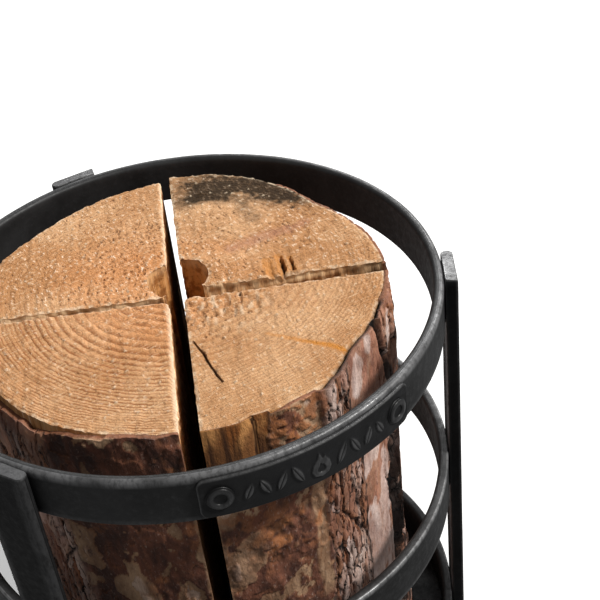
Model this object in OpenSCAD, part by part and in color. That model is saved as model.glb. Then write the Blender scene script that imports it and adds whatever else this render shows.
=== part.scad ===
// Firewood log rack: three flat-bar hoops welded inside three uprights, with a
// round floor, holding one round log cut lengthways into four quarters.
// Millimetres. Z is up, Z = 0 is the ground, and the hoops' axis is X = Y = 0.
// -Y faces the front, where the nameplate is.

/* [Hoops] */

// Outer diameter of the three hoops
hoop_d = 250; // [220:1:320]
// Thickness of the flat bar the hoops are bent from
bar_t = 5; // [3:0.5:8]
// Width of that flat bar, which is the height of each hoop
bar_w = 25; // [15:1:40]
// Rounding of the bar's long edges
bar_round = 1.2; // [0.4:0.1:2]
// Distance from one hoop to the next
hoop_pitch = 110; // [70:1:150]

/* [Uprights and floor] */

// Width of the three uprights
upright_w = 25; // [15:1:40]
// Thickness of the uprights
upright_t = 6; // [4:0.5:10]
// Height of the lowest hoop's lower edge above the ground
leg_h = 60; // [20:1:120]
// Direction of the first upright, measured from +X
upright_dir = -30; // [-90:1:90]
// Thickness of the round floor plate inside the lowest hoop
floor_t = 4; // [2:0.5:8]
// Length of each weld bead
bead_l = 18; // [8:1:24]
// Leg of each weld bead's section
bead_s = 3.8; // [2:0.2:5]

/* [Nameplate] */

// Arc the plate covers, in degrees
plate_arc = 46.6; // [30:0.2:80]
// Height of the plate
plate_h = 21; // [12:0.5:24]
// Thickness of the plate
plate_t = 2; // [1:0.2:3]
// Rounding of the plate's corners
plate_corner = 4; // [1:0.5:8]
// Height of the raised ornament
relief_t = 0.7; // [0.3:0.1:1.2]
// Angle from the plate's middle to each rivet
rivet_dir = 19.4; // [10:0.2:24]
// Diameter of each rivet's flange
rivet_d = 12; // [6:0.5:14]

/* [Log] */

// Outer diameter of the log over its bark
log_d = 200; // [140:1:205]
// Thickness of the bark
bark_t = 5; // [3:0.5:12]
// Direction of the main saw cut, measured from +X
cut_dir = 66.95; // [45:0.05:90]
// Width of the main saw cut
cut_w = 7; // [3:0.1:10]
// Offset of the main saw cut, towards the right
cut_off = -0.7; // [-6:0.1:6]
// How far the main cut opens from back to front, in degrees
cut_splay = 1.1; // [0:0.1:3]
// Direction of the cross cut, measured from +X
cross_dir = -25.4; // [-45:0.1:0]
// Offset of the cross cut on the right side
cross_off_r = -3.3; // [-12:0.1:12]
// Width of the cross cut on the right side
cross_w_r = 5.6; // [2:0.1:10]
// Offset of the cross cut on the left side
cross_off_l = -6; // [-12:0.1:12]
// Width of the cross cut on the left side
cross_w_l = 2.6; // [2:0.1:10]
// Diameter of the hole down the middle of the log
bore_d = 30; // [12:0.5:50]
// Sideways position of that hole
bore_x = 4.5; // [-20:0.5:20]
// Front-to-back position of that hole
bore_y = 8; // [-20:0.5:20]

/* [Hidden] */

hoop_r = hoop_d / 2;
in_r = hoop_r - bar_t;
hoop_low = [leg_h + 2 * hoop_pitch, leg_h + hoop_pitch, leg_h];
top_z = hoop_low[0] + bar_w;
log_z0 = leg_h + floor_t;
log_h = top_z - log_z0;
log_r = log_d / 2;
wood_r = log_r - bark_t;
plate_z = hoop_low[0] + bar_w / 2;
plate_r = hoop_r + plate_t;
steps = 96;
fine_steps = 720;
steel = [0.16, 0.17, 0.18];
bright = [0.30, 0.31, 0.32];
timber = [0.80, 0.56, 0.33];
bark_col = [0.36, 0.22, 0.16];

// ---- shapes shared by several pieces ----

// A section w by h with rounded corners, its lower left corner at the origin.
module bar_section(w, h, r) {
  translate([r, 0]) square([w - 2 * r, h]);
  translate([0, r]) square([w, h - 2 * r]);
  for (x = [r, w - r], y = [r, h - r]) translate([x, y]) circle(r, $fn = 16);
}

// A hoop of flat bar on edge, with its lower edge at height z.
module hoop(z) {
  color(steel) translate([0, 0, z]) rotate_extrude($fn = steps)
    translate([in_r, 0]) bar_section(bar_t, bar_w, bar_round);
}

// A full-height upright outside the hoops, in direction a.
module upright(a) {
  color(steel) rotate(a) translate([hoop_r, -upright_w / 2, 0])
    linear_extrude(top_z) bar_section(upright_t, upright_w, bar_round);
}

// The weld bead under the hoop at height z, against the upright in direction a.
module bead(z, a) {
  s = bead_s;
  color(bright) rotate(a) translate([hoop_r, bead_l / 2, z]) rotate([90, 0, 0])
    linear_extrude(bead_l)
      polygon([[0, 0], [-s, 0], [-0.86 * s, -0.42 * s], [-0.42 * s, -0.86 * s], [0, -s]]);
}

// A pointed leaf, long along Y, for the plate's ornament.
module leaf(len, wide) {
  r = (len * len / 4 + wide * wide / 4) / wide;
  intersection() {
    translate([r - wide / 2, 0]) circle(r, $fn = 48);
    translate([wide / 2 - r, 0]) circle(r, $fn = 48);
  }
}

// A flame with a curled tip.
module flame(h) {
  polygon(h / 12 * [[0, -6], [3, -5], [4.4, -2.4], [3.9, 0.6], [2.5, 2.6], [2.2, 4.2],
    [0.9, 2.9], [0.3, 4.6], [-0.6, 6], [-1.5, 3.2], [-3.4, 0.8], [-4.3, -2.2], [-3, -5]]);
}

// Raises a flat shape on the plate's outer face, at angle a from its middle.
module on_plate(a) {
  root = plate_t / 2;
  translate([0, 0, plate_z]) rotate(-90 + a) translate([plate_r - root, 0, 0])
    rotate([90, 0, 90]) linear_extrude(root + relief_t) children();
}

// One rivet: a flange, a raised rim and a sunk middle, at angle a.
module rivet(a) {
  r = rivet_d / 2;
  color(bright) translate([0, 0, plate_z]) rotate(-90 + a) translate([plate_r, 0, 0])
    rotate([0, 90, 0]) rotate_extrude($fn = 40)
      polygon([[0, 0], [r, 0], [r, 0.5], [0.86 * r, 1.1], [0.66 * r, 1.5],
        [0.52 * r, 1.2], [0.4 * r, 0.5], [0, 0.4]]);
}

// Everything on one side of a line in direction a, off to its left by at least d.
module left_of(a, d) {
  rotate(a) translate([-300, d, -1]) cube([600, 300, log_h + 2]);
}

// The wedge of log that quarter q takes: 0 right, 1 back, 2 left, 3 front.
module wedge(q) {
  w = cut_w / 2;
  s = cut_splay / 2;
  right_side = q == 0 || q == 3;
  off = right_side ? cross_off_r : cross_off_l;
  half = (right_side ? cross_w_r : cross_w_l) / 2;
  intersection() {
    if (right_side) left_of(cut_dir + 180 + s, w + cut_off);
    else left_of(cut_dir - s, w - cut_off);
    if (q < 2) left_of(cross_dir, off + half);
    else left_of(cross_dir + 180, half - off);
  }
}

// One quarter of the log's wood.
module log_quarter(q) {
  color(timber) translate([0, 0, log_z0]) intersection() {
    difference() {
      cylinder(r = wood_r, h = log_h, $fn = steps);
      translate([bore_x, bore_y, -1]) cylinder(d = bore_d, h = log_h + 2, $fn = 48);
    }
    wedge(q);
  }
}

// The bark on that quarter.
module bark_quarter(q) {
  color(bark_col) translate([0, 0, log_z0]) intersection() {
    difference() {
      cylinder(r = log_r, h = log_h, $fn = steps);
      translate([0, 0, -1]) cylinder(r = wood_r, h = log_h + 2, $fn = steps);
    }
    wedge(q);
  }
}

// ---- the pieces ----

module hoop_top() { hoop(hoop_low[0]); }
module hoop_middle() { hoop(hoop_low[1]); }
module hoop_bottom() { hoop(hoop_low[2]); }

module upright_right() { upright(upright_dir); }
module upright_back() { upright(upright_dir + 120); }
module upright_left() { upright(upright_dir + 240); }

// The floor: a disc inside the lowest hoop, flush with its lower edge.
module floor_plate() {
  color(steel) translate([0, 0, leg_h]) cylinder(r = in_r, h = floor_t, $fn = steps);
}

// The curved plate on the top hoop, with rounded corners and a raised ornament.
module nameplate() {
  half = hoop_r * sin(plate_arc / 2);
  color(steel) {
    intersection() {
      translate([-half, 0, plate_z - plate_h / 2]) rotate([90, 0, 0])
        linear_extrude(hoop_r + 20) bar_section(2 * half, plate_h, plate_corner);
      translate([0, 0, plate_z - plate_h]) difference() {
        cylinder(r = plate_r, h = 2 * plate_h, $fn = fine_steps);
        translate([0, 0, -1]) cylinder(r = hoop_r, h = 2 * plate_h + 2, $fn = fine_steps);
      }
    }
    on_plate(0) flame(13);
    for (side = [-1, 1], i = [0:3])
      on_plate(side * (4.6 + 3.1 * i)) rotate(-side * (i % 2 == 0 ? 24 : -24))
        leaf(11.5 - i, 3.6);
  }
}

module rivet_left() { rivet(-rivet_dir); }
module rivet_right() { rivet(rivet_dir); }

module weld_top_right() { bead(hoop_low[0], upright_dir); }
module weld_top_back() { bead(hoop_low[0], upright_dir + 120); }
module weld_top_left() { bead(hoop_low[0], upright_dir + 240); }
module weld_middle_right() { bead(hoop_low[1], upright_dir); }
module weld_middle_back() { bead(hoop_low[1], upright_dir + 120); }
module weld_middle_left() { bead(hoop_low[1], upright_dir + 240); }
module weld_bottom_right() { bead(hoop_low[2], upright_dir); }
module weld_bottom_back() { bead(hoop_low[2], upright_dir + 120); }
module weld_bottom_left() { bead(hoop_low[2], upright_dir + 240); }

module log_right() { log_quarter(0); }
module log_back() { log_quarter(1); }
module log_left() { log_quarter(2); }
module log_front() { log_quarter(3); }

module bark_right() { bark_quarter(0); }
module bark_back() { bark_quarter(1); }
module bark_left() { bark_quarter(2); }
module bark_front() { bark_quarter(3); }

hoop_top();
hoop_middle();
hoop_bottom();
upright_right();
upright_back();
upright_left();
floor_plate();
nameplate();
rivet_left();
rivet_right();
weld_top_right();
weld_top_back();
weld_top_left();
weld_middle_right();
weld_middle_back();
weld_middle_left();
weld_bottom_right();
weld_bottom_back();
weld_bottom_left();
log_right();
log_back();
log_left();
log_front();
bark_right();
bark_back();
bark_left();
bark_front();
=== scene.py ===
import math

import bpy
import numpy as np
from mathutils import Matrix, Vector
from mathutils.geometry import delaunay_2d_cdt


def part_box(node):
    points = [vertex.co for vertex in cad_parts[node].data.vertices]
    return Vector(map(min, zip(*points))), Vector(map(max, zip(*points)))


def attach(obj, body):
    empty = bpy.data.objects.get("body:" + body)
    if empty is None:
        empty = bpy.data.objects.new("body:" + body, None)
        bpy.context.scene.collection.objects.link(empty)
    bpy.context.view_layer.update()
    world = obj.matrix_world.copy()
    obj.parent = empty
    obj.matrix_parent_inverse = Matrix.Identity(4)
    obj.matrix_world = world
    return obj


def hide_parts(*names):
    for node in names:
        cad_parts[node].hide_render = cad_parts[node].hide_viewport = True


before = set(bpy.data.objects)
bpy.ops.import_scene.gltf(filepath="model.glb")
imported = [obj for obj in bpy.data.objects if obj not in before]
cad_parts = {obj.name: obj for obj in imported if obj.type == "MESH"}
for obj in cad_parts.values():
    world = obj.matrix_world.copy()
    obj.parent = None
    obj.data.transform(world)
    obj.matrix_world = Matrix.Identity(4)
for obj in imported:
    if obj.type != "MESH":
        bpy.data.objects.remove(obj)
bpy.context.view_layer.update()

# Shapes are worked out in millimetres in the shared frame, and scaled by MM as meshes are made.
MM = 0.001
QUARTERS = ["right", "back", "left", "front"]
RIGHT, BACK, LEFT, FRONT = range(4)


def box_mm(node):
    """The lowest and highest corner of a CAD node, in millimetres."""
    low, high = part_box(node)
    return np.array(low) / MM, np.array(high) / MM


# ---- sizes, from the frame ----

HOOPS = {name: (box_mm(name)[0][2], box_mm(name)[1][2])
         for name in ("hoop_top", "hoop_middle", "hoop_bottom")}
HOOP_R = box_mm("hoop_top")[1][0]
BAR_T = HOOP_R - box_mm("floor_plate")[1][0]
FLOOR_Z = (box_mm("floor_plate")[0][2], box_mm("floor_plate")[1][2])
UPRIGHT_T = box_mm("upright_back")[1][1] - HOOP_R
UPRIGHT_W = box_mm("upright_back")[1][0] * 2
UPRIGHTS = {"right": -30.0, "back": 90.0, "left": 210.0}
TOP_Z = box_mm("hoop_top")[1][2]
PLATE_Z = (box_mm("nameplate")[0][2], box_mm("nameplate")[1][2])
LOG_Z = (box_mm("log_right")[0][2], box_mm("log_right")[1][2])
RIVET_D = box_mm("rivet_left")[1][2] - box_mm("rivet_left")[0][2]

# ---- sizes that part.scad states and the boxes don't give ----

PLATE_T = 2.0
PLATE_ARC = 46.6
PLATE_CORNER = 4.0
RIVET_DIR = 19.4
BEAD_L = 18.0
BEAD_S = 3.8
CUT_DIR, CUT_W, CUT_OFF, CUT_SPLAY = 66.95, 7.0, -0.7, 1.1
CROSS_DIR = -25.4
CROSS = {True: (-3.3, 5.6), False: (-6.0, 2.6)}  # right side or not: offset, width
BORE_D, BORE = 30.0, np.array([4.5, 8.0])
SAW_DIR = 67.0   # the way the fine saw marks run over the log's top
RING_STEP = 4.8     # growth rings, near the heart
RINGS_EVEN = 62.0   # how far out they stay that far apart


# ---- noise on arrays ----

def hashed(ix, iy, seed):
    """A repeatable number from 0 to 1 for each lattice point."""
    n = ((ix * 73856093) ^ (iy * 19349663) ^ (seed * 83492791)) & 0x7FFFFFFF
    n = ((n ^ (n >> 13)) * 1274126177) & 0x7FFFFFFF
    n = ((n ^ (n >> 15)) * 668265263) & 0x7FFFFFFF
    return ((n ^ (n >> 11)) & 0xFFFFFF) / float(0xFFFFFF)


def noise(x, y, seed):
    """Smooth noise from -1 to 1 with features about one unit across."""
    ix, iy = np.floor(x).astype(np.int64), np.floor(y).astype(np.int64)
    fx, fy = x - ix, y - iy
    sx, sy = fx * fx * (3 - 2 * fx), fy * fy * (3 - 2 * fy)
    a, b = hashed(ix, iy, seed), hashed(ix + 1, iy, seed)
    c, d = hashed(ix, iy + 1, seed), hashed(ix + 1, iy + 1, seed)
    return 2 * (a + (b - a) * sx + (c - a) * sy + (a - b - c + d) * sx * sy) - 1


def fbm(x, y, seed, octaves=4):
    """Noise summed over octaves, each half the size and strength of the last."""
    total, strength, norm = 0.0, 1.0, 0.0
    for k in range(octaves):
        total = total + strength * noise(x * 2 ** k, y * 2 ** k, seed + 17 * k)
        norm += strength
        strength *= 0.5
    return total / norm


def cells(x, y, seed):
    """The nearest and next nearest distance to scattered points, and the nearest one's number."""
    jitter = 0.9
    ix, iy = np.floor(x).astype(np.int64), np.floor(y).astype(np.int64)
    best, second, tag = np.full(x.shape, 9.0), np.full(x.shape, 9.0), np.zeros(x.shape)
    for dx in (-1, 0, 1):
        for dy in (-1, 0, 1):
            cx, cy = ix + dx, iy + dy
            px = cx + 0.5 + jitter * (hashed(cx, cy, seed) - 0.5)
            py = cy + 0.5 + jitter * (hashed(cx, cy, seed + 7) - 0.5)
            d = np.hypot(px - x, py - y)
            closer = d < best
            second = np.where(closer, best, np.minimum(second, d))
            tag = np.where(closer, hashed(cx, cy, seed + 13), tag)
            best = np.minimum(best, d)
    return best, second, tag


def rise(x, low, high):
    """0 below low, 1 above high, smooth between."""
    t = np.clip((x - low) / (high - low), 0, 1)
    return t * t * (3 - 2 * t)


def fall(x, low, high):
    """1 below low, 0 above high, smooth between."""
    return 1 - rise(x, low, high)


def band(value, low, high, soft):
    """1 between low and high, 0 outside, soft at both ends."""
    return rise(value, low - soft, low + soft) * fall(value, high - soft, high + soft)


def way(degrees):
    """The unit vector in a direction, and the one to its left."""
    a = math.radians(degrees)
    return np.array([math.cos(a), math.sin(a)]), np.array([-math.sin(a), math.cos(a)])


def polar(radius, degrees, height):
    """Points from radius, direction and height."""
    a = np.radians(degrees)
    return np.stack(np.broadcast_arrays(radius * np.cos(a), radius * np.sin(a), height), -1)


def turned(x, y, z, degrees):
    """Points turned about Z."""
    (c, s), _ = way(degrees)
    return np.stack(np.broadcast_arrays(x * c - y * s, x * s + y * c, z), -1)


def to_segment(x, y, a, b):
    """Distance from points to the segment a to b, and how far along it they lie, 0 to 1."""
    ab = np.subtract(b, a)
    t = np.clip(((x - a[0]) * ab[0] + (y - a[1]) * ab[1]) / (ab @ ab), 0, 1)
    return np.hypot(x - a[0] - t * ab[0], y - a[1] - t * ab[1]), t


# ---- meshes ----

def make_piece(name, body, points, faces, materials, nodes, fields=None, sharp=40):
    """A mesh piece from points in mm and faces as (corner array, material number) pairs."""
    mesh = bpy.data.meshes.new(name)
    points = np.asarray(points, dtype=float).reshape(-1, 3) * MM
    corners = np.concatenate([f.ravel() for f, _ in faces])
    sizes = np.concatenate([np.full(len(f), f.shape[1]) for f, _ in faces])
    slots = np.concatenate([np.full(len(f), m) for f, m in faces])
    mesh.vertices.add(len(points))
    mesh.vertices.foreach_set("co", points.ravel())
    mesh.loops.add(len(corners))
    mesh.loops.foreach_set("vertex_index", corners.astype(np.int32))
    mesh.polygons.add(len(sizes))
    starts = np.concatenate([[0], np.cumsum(sizes)[:-1]])
    mesh.polygons.foreach_set("loop_start", starts.astype(np.int32))
    for material in materials:
        mesh.materials.append(material)
    mesh.polygons.foreach_set("material_index", slots.astype(np.int32))
    mesh.update(calc_edges=True)
    for key, values in (fields or {}).items():
        layer = mesh.attributes.new(key, "FLOAT", "POINT")
        layer.data.foreach_set("value", np.asarray(values, dtype=np.float32).ravel())
    mesh.validate()
    mesh.shade_smooth()
    mesh.set_sharp_from_angle(angle=math.radians(sharp))
    piece = bpy.data.objects.new(name, mesh)
    bpy.context.scene.collection.objects.link(piece)
    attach(piece, body)
    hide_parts(*nodes)
    return piece


def grid(rows, cols, wrap=False, base=0, flip=False):
    """Quads over a grid of points stored row by row; wrap joins the last column to the first."""
    r = np.arange(rows - 1)[:, None]
    c = np.arange(cols if wrap else cols - 1)[None, :]
    n = (c + 1) % cols
    quads = np.stack([r * cols + c, r * cols + n, (r + 1) * cols + n, (r + 1) * cols + c], -1)
    quads = quads.reshape(-1, 4) + base
    return quads[:, ::-1] if flip else quads


def fan(count, base=0, flip=False):
    """One polygon round a loop of points."""
    loop = np.arange(count)[None, :] + base
    return loop[:, ::-1] if flip else loop


def capped(rows, cols, flip=False, cap=0):
    """The faces of a tube with both ends closed; cap is the ends' material number."""
    return [(grid(rows, cols, wrap=True, flip=flip), 0), (fan(cols, flip=not flip), cap),
            (fan(cols, base=cols * (rows - 1), flip=flip), cap)]


# ---- material nodes ----

def put(tree, socket, value):
    """Links a socket to another, or sets its value."""
    if isinstance(value, bpy.types.NodeSocket):
        tree.links.new(value, socket)
    elif isinstance(value, tuple) and socket.type == "RGBA":
        socket.default_value = (*value, 1.0)
    else:
        socket.default_value = value


def fill(tree, made, inputs):
    """Fills in a node's inputs."""
    for key, value in inputs.items():
        put(tree, made.inputs[key], value)


def node(tree, kind, inputs=None, **settings):
    """A shader node with its settings and inputs filled in."""
    made = tree.nodes.new("ShaderNode" + kind)
    for key, value in settings.items():
        setattr(made, key, value)
    fill(tree, made, inputs or {})
    return made


def calc(tree, operation, *inputs):
    """A Math node's result."""
    return node(tree, "Math", dict(enumerate(inputs)), operation=operation).outputs[0]


def times(tree, a, b, plus=None):
    """a times b, and something added where it is given."""
    return calc(tree, "MULTIPLY", a, b) if plus is None else calc(tree, "MULTIPLY_ADD", a, b, plus)


def span(tree, value, low, high, to_low=0.0, to_high=1.0):
    """A value mapped from one range to another, clamped, with soft ends."""
    inputs = {0: value, 1: low, 2: high, 3: to_low, 4: to_high}
    return node(tree, "MapRange", inputs, interpolation_type="SMOOTHSTEP").outputs[0]


def coats(tree, colour, *layers):
    """A colour with others laid over it, each as (how much, colour)."""
    for amount, paint in layers:
        colour = node(tree, "Mix", {0: amount, 6: colour, 7: paint}, data_type="RGBA").outputs[2]
    return colour


def speckle(tree, vector, scale, detail=3.0, roughness=0.55, distortion=0.0):
    """Noise from 0 to 1."""
    inputs = {"Vector": vector, "Scale": scale, "Detail": detail, "Roughness": roughness,
              "Distortion": distortion}
    return node(tree, "TexNoise", inputs).outputs["Fac"]


def scaled(tree, vector, x, y, z, turn=0.0, shift=(0, 0, 0)):
    """Coordinates moved, turned about Z and stretched."""
    inputs = {"Vector": vector, "Location": shift, "Rotation": (0, 0, math.radians(turn)),
              "Scale": (x, y, z)}
    return node(tree, "Mapping", inputs).outputs[0]


def field(tree, name):
    """A value stored on the mesh's points."""
    return node(tree, "Attribute", attribute_name=name, attribute_type="GEOMETRY").outputs["Fac"]


def relief(tree, *layers):
    """Bumps on top of one another, each as (height, strength, distance), the broadest first."""
    below = {}
    for height, strength, distance in layers:
        inputs = {"Height": height, "Strength": strength, "Distance": distance, **below}
        below = {"Normal": node(tree, "Bump", inputs).outputs[0]}
    return below["Normal"]


def new_material(name):
    """A material, its node tree, its shader and the object's own coordinates."""
    material = bpy.data.materials.new(name)
    material.use_nodes = True
    tree = material.node_tree
    here = node(tree, "TexCoord").outputs["Object"]
    return material, tree, tree.nodes["Principled BSDF"], here


def steel_material(name, base, worn, rough=(0.40, 0.56), grain=1.0, shine=0.26):
    """Satin black steel: mottled, finely pitted, and lightened by a field on the mesh, partly as
    rubbed metal and partly as painted highlights.
    """
    material, tree, shader, here = new_material(name)
    cloud = speckle(tree, here, 38, 4, 0.6)
    mottle = speckle(tree, here, 300, 4, 0.65)
    pits = speckle(tree, here, 1500, 2, 0.6)
    dark, light, lightest = (tuple(k * v for v in base) for k in (0.65, 1.45, 2.2))
    scuff = speckle(tree, scaled(tree, here, 1, 1, 0.35), 420, 3, 0.7)
    # The worn colour is partly rubbed metal and partly a painted highlight on edges, ridges and lit
    # faces.
    wear_and_painted_highlight = times(tree, field(tree, "wear_and_painted_highlight"), span(tree, scuff, 0.30, 0.60, 0.35, 1))
    fill(tree, shader, {
        "Base Color": coats(tree, dark, (span(tree, cloud, 0.32, 0.68), light),
                            (span(tree, mottle, 0.5, 0.78, 0, 0.6), lightest), (wear_and_painted_highlight, worn)),
        "Roughness": times(tree, wear_and_painted_highlight, -0.24, span(tree, mottle, 0.3, 0.75, rough[1], rough[0])),
        "Specular IOR Level": times(tree, wear_and_painted_highlight, 0.7, shine),
        "Normal": relief(tree, (cloud, 0.25 * grain, 0.0012), (mottle, 0.35 * grain, 0.0006),
                         (pits, 0.25 * grain, 0.0002))})
    return material


def end_grain_material():
    """Pine sawn across: warm tan, with growth rings, torn fibres, pits, a dark smudge, a reddish
    flush and resin.
    """
    material, tree, shader, here = new_material("pine_end_grain")
    flat = scaled(tree, here, 1, 1, 0, shift=(*(-BORE * MM), 0))
    length = node(tree, "VectorMath", {0: flat}, operation="LENGTH").outputs["Value"]
    radius = times(tree, speckle(tree, here, 14, 3, 0.5), 0.010, length)
    radius = times(tree, speckle(tree, here, 210, 2, 0.6), 0.0016, radius)
    # The rings draw closer together outside RINGS_EVEN.
    outer = calc(tree, "MAXIMUM", calc(tree, "SUBTRACT", radius, RINGS_EVEN * MM), 0.0)
    turns = times(tree, times(tree, outer, outer), 5200,
                  calc(tree, "DIVIDE", radius, RING_STEP * MM))
    ring = calc(tree, "FRACT", turns)
    late = times(tree, span(tree, ring, 0.30, 0.86), span(tree, ring, 1.0, 0.90))
    patch = speckle(tree, here, 24, 3, 0.55)
    warm = speckle(tree, scaled(tree, here, 1, 1, 1, shift=(0.3, 0.1, 0)), 13, 2, 0.5)
    saw = speckle(tree, scaled(tree, here, 0.16, 1, 0.5, turn=-SAW_DIR), 1150, 3, 0.6)
    torn = speckle(tree, scaled(tree, here, 1, 0.45, 1, turn=-SAW_DIR + 90), 640, 4, 0.75)
    grit = speckle(tree, here, 1500, 3, 0.75)
    ringed = times(tree, field(tree, "rings"),
                   span(tree, speckle(tree, here, 90, 3, 0.6), 0.25, 0.6, 0.25, 1.0))
    coarse = field(tree, "coarse")
    colour = coats(
        tree, (0.515, 0.247, 0.098),
        (span(tree, patch, 0.3, 0.7), (0.71, 0.41, 0.208)),
        (times(tree, span(tree, warm, 0.4, 0.65, 0, 0.55), field(tree, "heart")), (0.72, 0.29, 0.10)),
        (times(tree, late, ringed), (0.33, 0.115, 0.034)),
        (span(tree, saw, 0.52, 0.76, 0, 0.6), (0.84, 0.60, 0.38)),
        (span(tree, saw, 0.46, 0.24, 0, 0.65), (0.27, 0.12, 0.045)),
        (times(tree, span(tree, torn, 0.56, 0.72), coarse), (1.0, 0.80, 0.60)),
        (times(tree, span(tree, torn, 0.47, 0.28), coarse), (0.12, 0.043, 0.014)),
        (span(tree, grit, 0.44, 0.24, 0, 0.9), (0.15, 0.058, 0.020)),
        # The dark smudge near the rear rim, darker where torn fibres are.
        (times(tree, field(tree, "dark_patch_and_painted_shade"), span(tree, torn, 0.72, 0.5, 0.75, 1.0)),
         (0.020, 0.0105, 0.003)),
        (field(tree, "blush"), (0.42, 0.185, 0.13)),
        (field(tree, "resin"), (0.62, 0.235, 0.03)),
        (field(tree, "fray_and_painted_light"), (0.95, 0.75, 0.53)),
        (field(tree, "crack"), (0.05, 0.018, 0.006)))
    fill(tree, shader, {
        "Base Color": colour, "Specular IOR Level": 0.2,
        "Roughness": span(tree, field(tree, "resin"), 0, 1, 0.85, 0.35),
        "Normal": relief(tree, (late, 0.35, 0.0006), (saw, 0.75, 0.0008), (torn, 0.9, 0.0013),
                         (grit, 0.7, 0.0006))})
    return material


def side_grain_material():
    """Pine sawn along: long streaks and torn fibres, amber and spotted with resin in the bore, with
    painted shade further down and painted light near the tops of the walls.
    """
    material, tree, shader, here = new_material("pine_side_grain")
    streak = speckle(tree, scaled(tree, here, 1, 1, 0.05), 420, 4, 0.65, 0.4)
    broad = speckle(tree, scaled(tree, here, 1, 1, 0.16), 60, 3, 0.5)
    fibre = speckle(tree, scaled(tree, here, 1, 1, 0.08), 1300, 2, 0.6)
    saw = speckle(tree, scaled(tree, here, 0.5, 0.5, 1.6), 240, 2, 0.5)
    resin = field(tree, "resin")
    spots = span(tree, speckle(tree, here, 190, 4, 0.7), 0.42, 0.6)
    colour = coats(
        tree, (0.50, 0.225, 0.075),
        (span(tree, broad, 0.3, 0.7), (0.76, 0.43, 0.19)),
        (span(tree, streak, 0.50, 0.70, 0, 0.8), (0.27, 0.105, 0.035)),
        (span(tree, streak, 0.46, 0.30, 0, 0.7), (0.84, 0.63, 0.42)),
        (span(tree, fibre, 0.55, 0.8, 0, 0.5), (0.80, 0.56, 0.33)),
        (times(tree, resin, 0.6), (0.74, 0.33, 0.085)),
        (times(tree, resin, spots), (0.27, 0.095, 0.022)),
        # Painted shade: darker down the cut walls and the bore, and a painted shadow at the outer end
        # of the right-hand cross cuts.
        (field(tree, "dark_patch_and_painted_shade"), (0.11, 0.045, 0.014)),
        # Pale torn fibres, also painting the light on the upper cut walls.
        (field(tree, "fray_and_painted_light"), (0.98, 0.73, 0.45)),
        (field(tree, "crack"), (0.05, 0.018, 0.006)))
    fill(tree, shader, {"Base Color": colour, "Roughness": 0.8, "Specular IOR Level": 0.25,
                        "Normal": relief(tree, (saw, 0.3, 0.0007), (streak, 0.9, 0.001))})
    return material


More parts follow.
